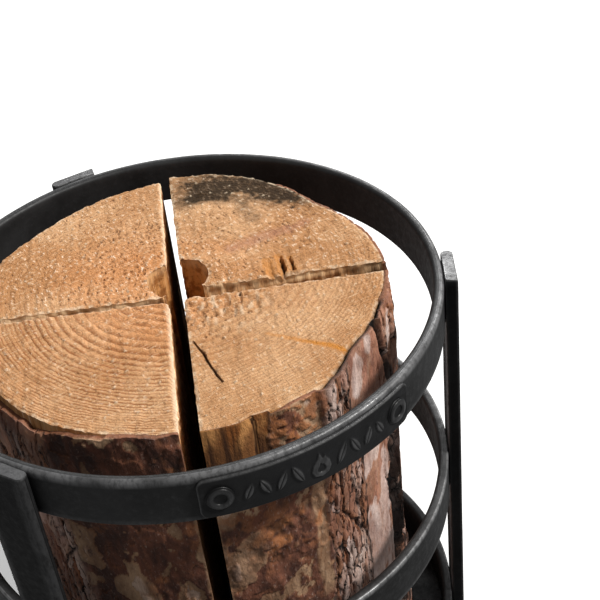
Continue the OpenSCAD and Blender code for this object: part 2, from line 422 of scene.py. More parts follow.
def bark_material():
    """Pine bark: grey-pink plates, red-brown layers, orange broken edges, and furrows and cracks
    painted black as shade.
    """
    material, tree, shader, here = new_material("pine_bark")
    tall = scaled(tree, here, 1, 1, 0.45)
    soft = speckle(tree, tall, 80, 4, 0.65)
    grit = speckle(tree, tall, 700, 4, 0.75)
    dust = speckle(tree, here, 1700, 2, 0.6)
    streak = speckle(tree, scaled(tree, here, 1, 1, 0.28), 170, 5, 0.75, 0.6)
    grain = speckle(tree, scaled(tree, here, 1, 1, 0.05), 300)
    # Scales laid out over the girth and the height, with cracks between them painted near black as
    # shade.
    height = node(tree, "SeparateXYZ", {0: here}).outputs[2]
    girth = times(tree, speckle(tree, tall, 330, 3, 0.6), 0.0034, field(tree, "girth"))
    girth = times(tree, speckle(tree, tall, 90, 2, 0.5), 0.006, girth)
    lifted = times(tree, speckle(tree, here, 260, 3, 0.6), 0.010, height)
    place = node(tree, "CombineXYZ", {0: girth, 1: 0.0, 2: times(tree, lifted, 0.21)})
    across = {"Vector": place.outputs[0], "Scale": 290.0, "Randomness": 1.0}
    gap = node(tree, "TexVoronoi", across, feature="DISTANCE_TO_EDGE").outputs["Distance"]
    pick = node(tree, "SeparateColor", {0: node(tree, "TexVoronoi", across).outputs["Color"]})
    scaly = field(tree, "scaly")
    split = times(tree, span(tree, gap, 0.07, 0.01), scaly)
    split = times(tree, split, span(tree, speckle(tree, tall, 420, 2), 0.36, 0.56, 0.1, 1.0))
    brown, ruddy, beige, grey, wood, amber = (
        coats(tree, dark, (span(tree, cloud, low, high), light))
        for cloud, low, high, dark, light in (
            (soft, 0.35, 0.65, (0.062, 0.024, 0.016), (0.20, 0.076, 0.044)),
            (soft, 0.35, 0.65, (0.20, 0.068, 0.042), (0.54, 0.235, 0.155)),
            (soft, 0.35, 0.65, (0.23, 0.122, 0.066), (0.48, 0.30, 0.18)),
            (soft, 0.3, 0.7, (0.54, 0.37, 0.32), (0.95, 0.80, 0.74)),
            (grain, 0.35, 0.65, (0.055, 0.020, 0.007), (0.24, 0.097, 0.030)),
            (soft, 0.4, 0.6, (0.30, 0.10, 0.024), (0.66, 0.31, 0.105))))
    fleck = times(tree, span(tree, pick.outputs[0], 0.35, 0.9), scaly)
    pale = calc(tree, "MAXIMUM", times(tree, fleck, 0.6), field(tree, "pale"))
    rust = times(tree, span(tree, pick.outputs[1], 0.72, 0.8), scaly)
    wood = coats(tree, wood,
                 (times(tree, field(tree, "tone"), span(tree, grain, 0.3, 0.6)), amber),
                 (field(tree, "crack"), (0.008, 0.004, 0.003)))
    colour = coats(
        tree, brown,
        (field(tree, "ruddy"), ruddy),
        (field(tree, "tone"), beige),
        (times(tree, pale, span(tree, streak, 0.30, 0.52, 0.5, 1.0)), grey),
        (times(tree, rust, 0.6), (0.33, 0.13, 0.07)),
        (field(tree, "edge"), (0.44, 0.17, 0.065)),
        (span(tree, grit, 0.55, 0.8, 0, 0.55), (0.66, 0.49, 0.40)),
        (span(tree, grit, 0.43, 0.2, 0, 0.85), (0.045, 0.02, 0.013)),
        (span(tree, streak, 0.40, 0.30, 0, 0.7), (0.055, 0.022, 0.015)),
        # Painted shade: near black in the cracks between scales, and in furrows, cracks, hollows,
        # steps and the gap behind loose bark.
        (split, (0.010, 0.005, 0.004)),
        (field(tree, "deep"), (0.005, 0.003, 0.0025)),
        (field(tree, "bare"), wood))
    fill(tree, shader, {
        "Base Color": colour, "Specular IOR Level": 0.3,
        "Roughness": span(tree, soft, 0.3, 0.7, 0.6, 0.85),
        "Normal": relief(tree, (soft, 0.8, 0.0022), (calc(tree, "SUBTRACT", 1.0, split), 0.8, 0.001),
                         (grit, 0.8, 0.001), (streak, 0.6, 0.0009), (dust, 0.4, 0.0003))})
    return material


def floor_material():
    """A plain pale floor with the faintest unevenness."""
    material, tree, shader, here = new_material("floor")
    colour = coats(tree, (0.90, 0.90, 0.895), (speckle(tree, here, 3, 2, 0.5), (0.93, 0.93, 0.93)))
    fill(tree, shader, {"Base Color": colour, "Roughness": 0.9})
    return material


# ---- steel pieces ----

def rounded_section(width, height, radii, rubbed_and_painted_highlight, arc=6, flat=4):
    """A closed loop round a rectangle with rounded corners, and how much each point is rubbed and lit
    by a painted highlight.

    The corners come as right low, right high, left high and left low."""
    points, edge = [], []
    low_r, high_r, high_l, low_l = radii
    corners = [(width - low_r, low_r, -90), (width - high_r, height - high_r, 0),
               (high_l, height - high_l, 90), (low_l, low_l, 180)]
    arcs = []
    for (x, y, start), radius in zip(corners, radii):
        a = np.radians(np.linspace(start, start + 90, arc))
        arcs.append(np.stack([x + radius * np.cos(a), y + radius * np.sin(a)], -1))
    for k in range(4):
        after = arcs[(k + 1) % 4][0]
        t = np.linspace(0, 1, flat + 2)[1:-1, None]
        points += [arcs[k], arcs[k][-1] + (after - arcs[k][-1]) * t]
        edge += [np.full(arc, rubbed_and_painted_highlight[k]), np.zeros(flat)]
    return np.concatenate(points), np.concatenate(edge)


def add_hoop(name, seed, material, radii):
    """A hoop bent from flat bar: rounded rolled edges, and the bar's slight unevenness."""
    low, high = HOOPS[name]
    # The outer top edge gets the strongest painted highlight line, the outer low edge a weaker one.
    section, edge = rounded_section(BAR_T, high - low, radii, (0.3, 1, 0.05, 0), 8, 9)
    steps = 360
    degrees = np.arange(steps)[:, None]
    round_x, round_y, _ = np.moveaxis(polar(6, degrees, 0), -1, 0)
    wave = 0.16 * fbm(round_x + seed, round_y + section[:, 1] / 14, seed)
    out = section[:, 0] - BAR_T / 2
    radius = HOOP_R - BAR_T / 2 + out * (1 + 0.02 * wave) + wave * 0.6 - 0.1
    height = low + section[:, 1] + 0.5 * wave * np.sign(section[:, 1] - (high - low) / 2)
    points = polar(radius, degrees, np.clip(height, low, high))
    # Painted light on the hoop's top face.
    painted_light_top_face = 0.22 * rise(section[:, 1], high - low - 0.6, high - low) * rise(section[:, 0], 1, 4.5)
    wear_and_painted_highlight = np.maximum(edge * 0.8, painted_light_top_face) * (0.75 + 0.5 * noise(round_x * 2, round_y * 2, seed + 3))
    quads = grid(steps + 1, len(section), wrap=True, flip=True) % (steps * len(section))
    make_piece(name + "_bar", "stand", points, [(quads, 0)], [material], [name],
               {"wear_and_painted_highlight": wear_and_painted_highlight})


def add_upright(side, seed, material, sawn):
    """An upright of flat bar with rolled edges and sawn ends."""
    # The edges carry painted highlight lines.
    section, edge = rounded_section(UPRIGHT_T, UPRIGHT_W, (0.6, 2.7, 2.7, 0.6),
                                    (1, 0.6, 0.3, 0.3), 7, 5)
    # The edge nearer the front was sheared a little off square.
    section[:, 1] += 1.3 * (1 - section[:, 0] / UPRIGHT_T) * fall(section[:, 1], 0.6, 3)
    section -= [0, UPRIGHT_W / 2]
    heights = np.concatenate([[0, 0.35], np.linspace(1.2, TOP_Z - 1.2, 110), [TOP_Z - 0.35, TOP_Z]])
    inset = np.interp(heights, [0, 0.35, 1.2, TOP_Z - 1.2, TOP_Z - 0.35, TOP_Z],
                      [0.4, 0.1, 0, 0, 0.1, 0.4])
    centre = np.array([UPRIGHT_T / 2, 0])
    flat = section[None] - (section[None] - centre) / np.array([3.0, 12.5]) * inset[:, None, None]
    wave = 0.12 * fbm(heights[:, None] / 22 + seed, flat[..., 1] / 9, seed)
    flat -= np.sign(flat - centre) * [1, 0] * np.abs(wave)[..., None]
    flat[..., 0] = np.clip(flat[..., 0], 0.02, UPRIGHT_T)
    points = turned(HOOP_R + flat[..., 0], flat[..., 1], heights[:, None], UPRIGHTS[side])
    # Painted light near the sawn ends, and a painted reflection on the inner face beside one edge.
    near_end = np.maximum(rise(heights, TOP_Z - 1.5, TOP_Z - 0.2), fall(heights, 0.2, 1.5))
    painted_reflection = fall(section[:, 0], 0.1, 0.5) * fall(section[:, 1], -6, 0)
    wear_and_painted_highlight = np.maximum(np.maximum(edge * 0.4, 0.9 * painted_reflection)[None], 0.5 * near_end[:, None])
    make_piece("upright_" + side + "_bar", "stand", points,
               capped(len(heights), len(section), cap=1), [material, sawn], ["upright_" + side],
               {"wear_and_painted_highlight": wear_and_painted_highlight})


def add_floor_plate(material):
    """The round floor inside the lowest hoop, very slightly dished and with a rounded rim."""
    rim = HOOP_R - BAR_T
    low, high = FLOOR_Z
    profile = [(0.02, high - 0.3), (12, high - 0.3), (30, high - 0.25), (50, high - 0.2),
               (70, high - 0.12), (90, high - 0.05), (105, high), (rim - 3, high),
               (rim - 0.6, high - 0.05), (rim - 0.15, high - 0.4), (rim, high - 1),
               (rim, low + 1), (rim - 0.4, low + 0.2), (rim - 1, low), (60, low), (0.02, low)]
    steps = 192
    r, z = np.array(profile).T[:, :, None]
    x, y, z = np.moveaxis(polar(r, np.arange(steps) * 360 / steps, z), -1, 0)
    z = np.where(z > (low + high) / 2, z - 0.12 * (1 + fbm(x / 30, y / 30, 71)), z)
    # A painted highlight on the rounded rim, and scattered rubbed wear.
    wear_and_painted_highlight = 0.35 * (np.abs(r - rim) < 1) + 0.2 * rise(fbm(x / 25, y / 25, 5), 0.1, 0.5)
    make_piece("floor_disc", "stand", np.stack([x, y, z], -1),
               capped(len(profile), steps, flip=True), [material], ["floor_plate"], {"wear_and_painted_highlight": wear_and_painted_highlight})


def leaf_distance(x, y, length, width):
    """Signed distance to a pointed leaf, long along Y, negative inside."""
    r = (length ** 2 + width ** 2) / (4 * width)
    d = r - width / 2
    return np.hypot(np.abs(x) + d, y) - r


def outline_distance(x, y, outline):
    """Signed distance to a closed outline, negative inside."""
    best, inside = np.full(x.shape, 1e9), np.zeros(x.shape, bool)
    for a, b in zip(outline, np.roll(outline, -1, axis=0)):
        best = np.minimum(best, to_segment(x, y, a, b)[0])
        crosses = (a[1] > y) != (b[1] > y)
        with np.errstate(divide="ignore", invalid="ignore"):
            at = (b[0] - a[0]) * (y - a[1]) / (b[1] - a[1]) + a[0]
        inside ^= crosses & (x < at)
    return np.where(inside, -best, best)


FLAME = 13 / 12 * np.array([(0, -6), (3, -5), (4.4, -2.4), (3.9, 0.6), (2.5, 2.6), (2.2, 4.2),
                            (0.9, 2.9), (0.3, 4.6), (-0.6, 6), (-1.5, 3.2), (-3.4, 0.8),
                            (-4.3, -2.2), (-3, -5)])


def ornament_height(u, v):
    """The plate's raised ornament: a flame between two sprigs of leaves, 0 to 1."""
    shape = outline_distance(u, v, FLAME)
    core = outline_distance(u, v + 1.6, FLAME * 0.42)
    height = fall(shape, -0.45, 0.25) * (1 - 0.75 * fall(core, -0.3, 0.3))
    for side in (-1, 1):
        for i in range(4):
            along = side * math.radians(4.6 + 3.1 * i) * (HOOP_R + PLATE_T)
            lean = side * (24 if i % 2 == 0 else -24)
            x, y, _ = np.moveaxis(turned(u - along, v, 0, lean), -1, 0)
            leaf = leaf_distance(x, y, 11.5 - i, 3.6)
            vein = 0.45 * fall(np.abs(x), 0.1, 0.45)
            height = np.maximum(height, fall(leaf, -0.45, 0.25) * (1 - vein))
    return height


def add_nameplate(material):
    """The curved plate: rounded corners, soft edges, a raised ornament and dimples at the rivets."""
    low, high = PLATE_Z
    tall, long = high - low, math.radians(PLATE_ARC) * HOOP_R
    cols, rows = 330, 72
    v = (np.linspace(-1, 1, rows) * tall / 2)[:, None]
    over = np.clip(np.abs(v) - (tall / 2 - PLATE_CORNER), 0, PLATE_CORNER)
    half = long / 2 - (PLATE_CORNER - np.sqrt(PLATE_CORNER ** 2 - over ** 2))
    u = np.linspace(-1, 1, cols)[None, :] * half
    v = v + 0 * u
    dx = np.abs(u) - (long / 2 - PLATE_CORNER)
    dy = np.abs(v) - (tall / 2 - PLATE_CORNER)
    edge = PLATE_CORNER - np.hypot(np.clip(dx, 0, None), np.clip(dy, 0, None))
    edge = np.where((dx < 0) & (dy < 0), PLATE_CORNER - np.maximum(dx, dy), edge)
    raised = ornament_height(u, v)
    rivet = np.hypot(np.abs(u) - math.radians(RIVET_DIR) * (HOOP_R + PLATE_T), v)
    dimple = rise(rivet, RIVET_D / 2 - 0.4, RIVET_D / 2 + 2.6)
    skin = 0.06 * fbm(u / 7, v / 7, 41)
    proud = PLATE_T - 0.35 * (1 - dimple) - 0.9 * fall(edge, -0.3, 1.1) + 0.85 * raised + skin
    proud = np.stack([proud, 0.02 + 0 * proud])
    points = polar(HOOP_R + proud, np.degrees(u / HOOP_R) - 90, v + (low + high) / 2)
    n = rows * cols
    rim = np.concatenate([np.arange(cols), np.arange(1, rows) * cols + cols - 1,
                          (rows - 1) * cols + np.arange(cols - 2, -1, -1),
                          np.arange(rows - 2, 0, -1) * cols])
    after = np.roll(rim, -1)
    sides = np.stack([rim, rim + n, after + n, after], -1)
    # Painted highlights on the ornament's raised tops and along the plate's edges, with some rubbed
    # wear.
    wear_and_painted_highlight = 0.5 * rise(raised, 0.55, 0.95) + 0.5 * fall(edge, 0.1, 0.9)
    make_piece("nameplate_pressed", "stand", points,
               [(grid(rows, cols), 0), (grid(rows, cols, base=n, flip=True), 0), (sides, 0)],
               [material], ["nameplate"], {"wear_and_painted_highlight": np.stack([wear_and_painted_highlight, 0 * wear_and_painted_highlight])})


def add_rivet(name, side, material):
    """A rivet head: a thin flange, a rolled rim and a sunk middle."""
    r = RIVET_D / 2
    s = np.linspace(0, 1, 9)
    rim_x, rim_z = 0.68 * r, 0.62
    roll = [(rim_x + 0.24 * r * math.cos(t), rim_z + 0.85 * math.sin(t))
            for t in np.linspace(-0.1, math.pi, 14)]
    dish = [(0.44 * r * (1 - t), 0.5 - 0.18 * math.sin(t * math.pi / 2)) for t in s[1:-1]]
    profile = [(r - 0.15, -0.1), (r, 0.12), (r - 0.1, 0.34), (0.95 * r, 0.45)] + roll + dish
    profile += [(0.05, 0.32)]
    steps = 72
    rr, z = np.array(profile).T[:, :, None]
    y, x, z = np.moveaxis(polar(rr, np.arange(steps) * 360 / steps, z), -1, 0)
    z += 0.05 * fbm(x / 2 + 9 * side, y / 2, 51) * (rr < r - 0.2)
    points = turned(HOOP_R + PLATE_T - 0.3 + z, y, x + sum(PLATE_Z) / 2, -90 + side * RIVET_DIR)
    # A painted highlight: a bright crescent on the rolled rim, stronger toward one side.
    lip = np.exp(-((rr - rim_x) / (0.2 * r)) ** 2) * (z > 0.8)
    make_piece(name + "_head", "stand", points, capped(len(profile), steps),
               [material], [name], {"wear_and_painted_highlight": 0.4 * lip * (0.4 + 0.6 * rise(y - x, 0, r))})


def add_bead(level, side, material):
    """A weld bead under a hoop: a row of overlapping ripples that taper at both ends."""
    base = HOOPS["hoop_" + level][0]
    steps, arc = 64, 14
    t = np.linspace(-1, 1, steps)[:, None]
    along = t * BEAD_L / 2
    full = np.clip(1 - np.abs(t) ** 6, 0.04, 1) ** 0.5
    swing = np.linspace(0, 1, arc)[None, :] * math.pi / 2
    seed = hash_number(level + side)
    lag = 0.55 * np.sin(2 * swing)
    ripple = 0.07 * np.abs(np.sin((along * 1.9 + lag) + 0.3 * noise(along, 0 * along, seed)))
    size = BEAD_S * full * (0.86 + ripple + 0.05 * noise(along / 3, swing * 2, seed + 1))
    size = np.column_stack([-size * (1 - 0.16 * np.sin(2 * swing)), 0 * t])
    swing = np.append(swing, 0)
    # Painted highlights on the ripple crests.
    wear_and_painted_highlight = np.column_stack([0.5 * rise(ripple / 0.07, 0.6, 1.0), 0 * t])
    points = turned(HOOP_R + size * np.cos(swing), along, base + size * np.sin(swing),
                    UPRIGHTS[side])
    make_piece("bead_" + level + "_" + side, "stand", points,
               capped(steps, arc + 1, flip=True), [material], ["weld_" + level + "_" + side],
               {"wear_and_painted_highlight": wear_and_painted_highlight})


def hash_number(text):
    """A small repeatable number for a name."""
    return sum(ord(letter) * (k + 3) for k, letter in enumerate(text)) % 997


# ---- the log ----

# The wood's rim: direction in degrees and radius in mm, at the top of the log.
RIM = np.array([
    (-112, 99.5), (-106, 100.3), (-102, 100.5), (-98, 98.8), (-92, 99.8), (-85, 100.2), (-79, 101.3),
    (-71, 97.5), (-64, 94.3), (-51, 96.2), (-45, 95.6), (-38, 97.5), (-26, 98), (-10, 96.5), (4, 94),
    (14, 92), (25, 95.5), (41, 99.5), (52, 101.5), (66, 101.5), (67.5, 99.5), (78, 98.5), (90, 97),
    (110, 95), (130, 97), (150, 98.5), (170, 96), (190, 97), (210, 98.5), (228, 97.5), (247, 98)])
RIM_START = -112.999
LIFT = {"right": 1.2, "back": 0.4, "left": -0.3, "front": -0.2}  # how far each top stands proud
SETTLED = 0.6      # how far the uneven top's middle height lies below that
WOOD_LOW = 95.0    # the wood's radius well below the top
BARK_LOW = 100.0   # the radius at which the bark's girth is measured


def rim_radius(degrees, depth):
    """The wood's radius in a direction, at a depth below the top."""
    wrapped = (degrees - RIM_START) % 360 + RIM_START
    top = np.interp(wrapped, *RIM.T)
    deep = WOOD_LOW + 1.2 * noise(wrapped / 31, depth / 80, 201)
    return top + (deep - top) * rise(depth, 12, 90)


def cut_lines(q):
    """A quarter's two saw cuts as (direction, offset) pairs: going out, then coming back."""
    right = q in (RIGHT, FRONT)
    offset, width = CROSS[right]
    if right:
        main = (CUT_DIR + 180 + CUT_SPLAY / 2, CUT_W / 2 + CUT_OFF)
    else:
        main = (CUT_DIR - CUT_SPLAY / 2, CUT_W / 2 - CUT_OFF)
    if q in (RIGHT, BACK):
        cross = (CROSS_DIR, offset + width / 2)
    else:
        cross = (CROSS_DIR + 180, width / 2 - offset)
    return (cross, main) if q % 2 == 0 else (main, cross)


def past_cuts(q, points):
    """How far points lie inside each of a quarter's two saw cuts."""
    return [way(direction)[1] @ points.T - offset for direction, offset in cut_lines(q)]


def along_path(points, step):
    """Points at even steps along a path."""
    lengths = np.cumsum(np.hypot(*np.diff(points, axis=0, prepend=points[:1]).T))
    at = np.linspace(0, lengths[-1], max(2, round(lengths[-1] / step)) + 1)
    return np.stack([np.interp(at, lengths, column) for column in points.T], -1)


# What a point of a quarter's outline lies on: a saw cut, the log's rim or the bore.
CUT, RIND, HOLE = range(3)


def bearing(points):
    """The direction of points from the middle of the log, in degrees."""
    return np.degrees(np.arctan2(points[..., 1], points[..., 0]))


def quarter_outline(q, step):
    """A quarter's outline at the top, anticlockwise, with what each point lies on.

    Returns points, the way out of the wood at each, and a tag: CUT, RIND or HOLE."""
    (a, da), (b, db) = cut_lines(q)
    out_way, in_way = way(a)[0], -way(b)[0]
    corner = np.linalg.solve([way(a)[1], way(b)[1]], [da, db])
    far = np.linspace(0, 104, 1041)[:, None]

    def to_rim(direction):
        """Points from the corner to the rim."""
        line = corner + far * direction
        return line[np.hypot(*line.T) < rim_radius(bearing(line), 0)]

    going, coming = to_rim(out_way), to_rim(in_way)[::-1]
    start, end = bearing(going[-1]), bearing(coming[0])
    angles = np.linspace(start, end + 360 * (end < start), 600)
    rim = polar(rim_radius(angles, 0), angles, 0)[:, :2]
    pieces = []
    for path in (going, rim, coming):
        away = np.linalg.norm(path - BORE, axis=1)
        chewed = BORE_D / 2 + 0.9 * noise(path[:, 0] / 3, path[:, 1] / 3, 77)
        inside = away < chewed
        path = np.where(inside[:, None], BORE + (path - BORE) *
                        (chewed / np.maximum(away, 0.01))[:, None], path)
        # The bore's edge counts only where it is still within this quarter.
        within = np.min(past_cuts(q, path), axis=0) > -0.1
        pieces.append(along_path(path[~inside | within], step)[:-1])
    points = np.concatenate(pieces)
    tags = np.repeat([CUT, RIND, CUT], [len(piece) for piece in pieces])
    tags[np.linalg.norm(points - BORE, axis=1) < BORE_D / 2 + 1.3] = HOLE
    # A quarter whose corner is clear of the bore has that corner knocked off.
    blunt = np.linalg.norm(points - corner, axis=1) < 2.2
    points[blunt] += 0.5 * (out_way + in_way)
    # The way out of the wood is square to the outline.
    turn = np.roll(points, -1, axis=0) - np.roll(points, 1, axis=0)
    outward = np.stack([turn[:, 1], -turn[:, 0]], -1)
    outward /= np.maximum(np.linalg.norm(outward, axis=1), 1e-6)[:, None]
    return points, outward, tags


# Paths over the front quarter's top, in mm, and the direction of the crack down its bare facet.
CRACK = [(-11, -39.2), (-11.5, -50), (-12.4, -56.2), (-13.1, -64.7), (-13.5, -71)]
RESIN = [(17.7, -54.5), (27.6, -67.2), (36, -78.8), (41, -87)]
FACET_CRACK = -98.3
# Grooves torn out behind the cross cut: start, length, half width, depth and darkness.
GOUGES = [((40, -21), 15, 1.9, 1.1, 0.0), ((45, -23.5), 17, 1.5, 1.6, 0.15),
          ((47.6, -20), 12, 0.95, 3.6, 0.9), ((51.6, -22), 11, 0.85, 3.0, 0.85)]


def more(fields, key, value):
    """Raises a field to a value wherever that is higher."""
    fields[key] = np.maximum(fields[key], value)


def path_distance(x, y, path):
    """The distance to a path of straight stretches, and how far along it, 0 to 1."""
    best, along = np.full(np.shape(x), 1e9), np.zeros(np.shape(x))
    for k in range(len(path) - 1):
        d, t = to_segment(x, y, path[k], path[k + 1])
        closer = d < best
        along = np.where(closer, (k + t) / (len(path) - 1), along)
        best = np.minimum(best, d)
    return best, along


def top_shape(q, x, y, edge):
    """The height of a quarter's sawn top, and the fields that colour it.

    edge is the distance to the quarter's own edge."""
    flat = np.stack([x, y], -1)
    r, out, a = np.hypot(*(flat - BORE).T), np.hypot(x, y), bearing(flat)
    inward = rim_radius(a, 0) - out
    along, across = way(SAW_DIR) @ flat.T

    def lumps(size, seed, octaves=4):
        """Noise alike in all directions."""
        return fbm(x / size, y / size, seed, octaves)

    def combed(thick, long, seed):
        """Noise drawn out along the saw marks."""
        return noise(across / thick, along / long, seed)

    z = 0.5 * lumps(45, 8, 2) + 0.30 * lumps(7, 7, 5)
    z = z + 0.22 * combed(2.6, 17, 6) + 0.15 * combed(1.5, 9, 16)
    # Little holes where fibres pulled out, densest round the heart, and chips lying on the top.
    f1, _, tag = cells(across / 2.7, along / 4.4, 9)
    zone = (0.35, 1.0, 0.2, 0.6)[q] * fall(r, 40, 76) * rise(lumps(16, 10), -0.45, 0.2)
    size = 0.13 + 0.16 * tag
    pit = rise(zone, 0.1, 0.6) * fall(f1, 0.5 * size, size) * (tag > 0.45)
    z -= 0.9 * pit
    c1, _, tag = cells(x / 5.2, y / 5.2, 11)
    chip = fall(c1, 0.07, 0.13) * (tag > 0.72)
    z += 0.7 * chip
    z -= (0.55 + 0.4 * lumps(2.2, 12, 1)) * fall(edge, 0.0, 1.5)
    splinter = rise(lumps(1.7, 14, 1), 0.25, 0.9) * fall(edge, 0.2, 1.6)
    fields = {key: np.zeros(len(x)) for key in ("dark_patch_and_painted_shade", "blush", "resin", "crack", "fray_and_painted_light")}
    fields["crack"] = 0.45 * pit
    fields["fray_and_painted_light"] = np.maximum(0.75 * chip, 0.65 * fall(edge, 0.5, 2.0) *
                                rise(lumps(1.6, 15, 1), -0.4, 0.6))
    fields["coarse"] = (1.25, 1.3, 0.55, 0.5)[q] + 0.4 * fall(r, 20, 45)
    fields["coarse"] *= 0.85 + 0.5 * lumps(9, 36)
    fields["heart"] = (0.6, 1.0, 1.0, 0.7)[q] * fall(r, 28, 82)
    fields["rings"] = (0.10, 0.28, 0.95, 0.35)[q] * rise(r, 14, 26)
    if q == RIGHT:
        # The dark smudge near the rear rim, darkest in its middle, and the flush beside the cross
        # cut.
        within = rise(a, 4, 22) * (0.4 + 0.6 * fall(a, 52, 66))
        dark_patch = rise(out + 8 * lumps(11, 20), 62 + 0.40 * (55 - a), 86 + 0.30 * (55 - a))
        dark_patch *= 1 - 0.4 * rise(out, 91, 97) * rise(a, 42, 52)
        d, _ = to_segment(x, y, (60, 52), (58, 28))
        dark_patch = np.maximum(dark_patch * within, 0.5 * fall(d - 3 * lumps(5, 18), -1, 7))
        core = fall(np.hypot((x - 46) / 1.7, y - 66) - 3 * lumps(5, 44), 1, 13)
        blot = 0.72 + 0.45 * lumps(2.0, 21) + 0.4 * lumps(9, 40) + 0.5 * core
        fields["dark_patch_and_painted_shade"] = np.clip(1.75 * dark_patch * blot, 0, 0.96)
        d, _ = to_segment(x, y, (36, 13), (76, 9))
        fields["blush"] = 0.4 * fall(d + 3 * lumps(6, 22), 0, 6)
        # Flakes in the smudge, a knot, and the gouges beside the cross cut.
        flakes = fall(np.hypot(x - 48, y - 66.5), 2, 7)
        z += 0.9 * flakes * np.abs(noise(x / 1.9, y / 1.1, 17))
        knot = np.hypot(x - 78.4, y - 25.1)
        z -= 1.8 * fall(knot, 0.5, 1.5)
        more(fields, "crack", fall(knot, 0.9, 1.6))
        gouge_way = way(SAW_DIR + 3)[0]
        for start, length, half, deep, dark in GOUGES:
            end = np.add(start, length * gouge_way)
            d, t = to_segment(x + 0.7 * noise(y / 2.6, x / 2.6, 27), y, start, end)
            slot = fall(d, 0.5 * half, half)
            z -= slot * deep * (1.15 - 0.6 * t)
            more(fields, "resin", 0.5 * fall(d, half, half + 1.2))
            more(fields, "crack", dark * slot * fall(t, 0.7, 0.97))
        torn = fall(to_segment(x, y, (41, -22), (51, -26.5))[0], 0.8, 3.4)
        z -= 1.5 * torn * rise(combed(1.3, 5, 32), -0.5, 0.5)
        more(fields, "fray_and_painted_light", 0.9 * torn * rise(combed(1.2, 5, 33), -0.1, 0.35))
    if q == FRONT:
        # The long crack, the resin streak, fibres torn near the bore, and the crumbling rim.
        d, t = path_distance(x + 0.25 * lumps(3, 23, 1), y, CRACK)
        wide = 0.2 + 0.38 * np.sin(math.pi * np.clip(t, 0.04, 0.96)) ** 0.6
        z -= 2.0 * fall(d, wide * 0.3, wide)
        more(fields, "crack", fall(d, wide * 0.5, wide + 0.25))
        d, t = path_distance(x, y + 0.8 * lumps(6, 24, 1), RESIN)
        fields["resin"] = fall(d, 0.5, 1.4 + 1.3 * t) * (0.5 + 0.5 * rise(t, 0.1, 0.6))
        bite = fall(np.hypot(x - 14, y + 22), 6, 30)
        z -= 1.3 * bite * rise(combed(1.8, 5, 26), -0.1, 0.6)
        more(fields, "fray_and_painted_light", 0.5 * bite * rise(combed(1.6, 4.2, 28), 0.25, 0.6))
        loose = fall(a, -42, -36) * rise(a, -82, -76)
        z -= 1.6 * loose * fall(inward, 0.4, 1.6) * (0.6 + 0.6 * lumps(3, 39, 1))
        more(fields, "crack", 0.6 * loose * fall(inward, 0.4, 1.0))
    if q in (BACK, LEFT):
        # The saw left a frayed slope along the main cut or the cross cut, painted pale as torn fibres
        # and as painted light.
        wide = (1.1 if q == BACK else 1.9) * (1 + 0.35 * noise(along / 6, 0, 34))
        slope = fall(past_cuts(q, flat)[q - 1], 0, wide)
        z -= wide * slope
        more(fields, "fray_and_painted_light", slope * (0.85 + 0.3 * noise(x, y, 35)))
        fields["fray_and_painted_light"] = np.clip(fields["fray_and_painted_light"], 0, 1)
    if q == LEFT:
        # The growth rings stand out here.
        z += 0.16 * np.sin(2 * math.pi * (r + 2 * lumps(20, 29)) / RING_STEP)
    return z + 0.5 * splinter, fields


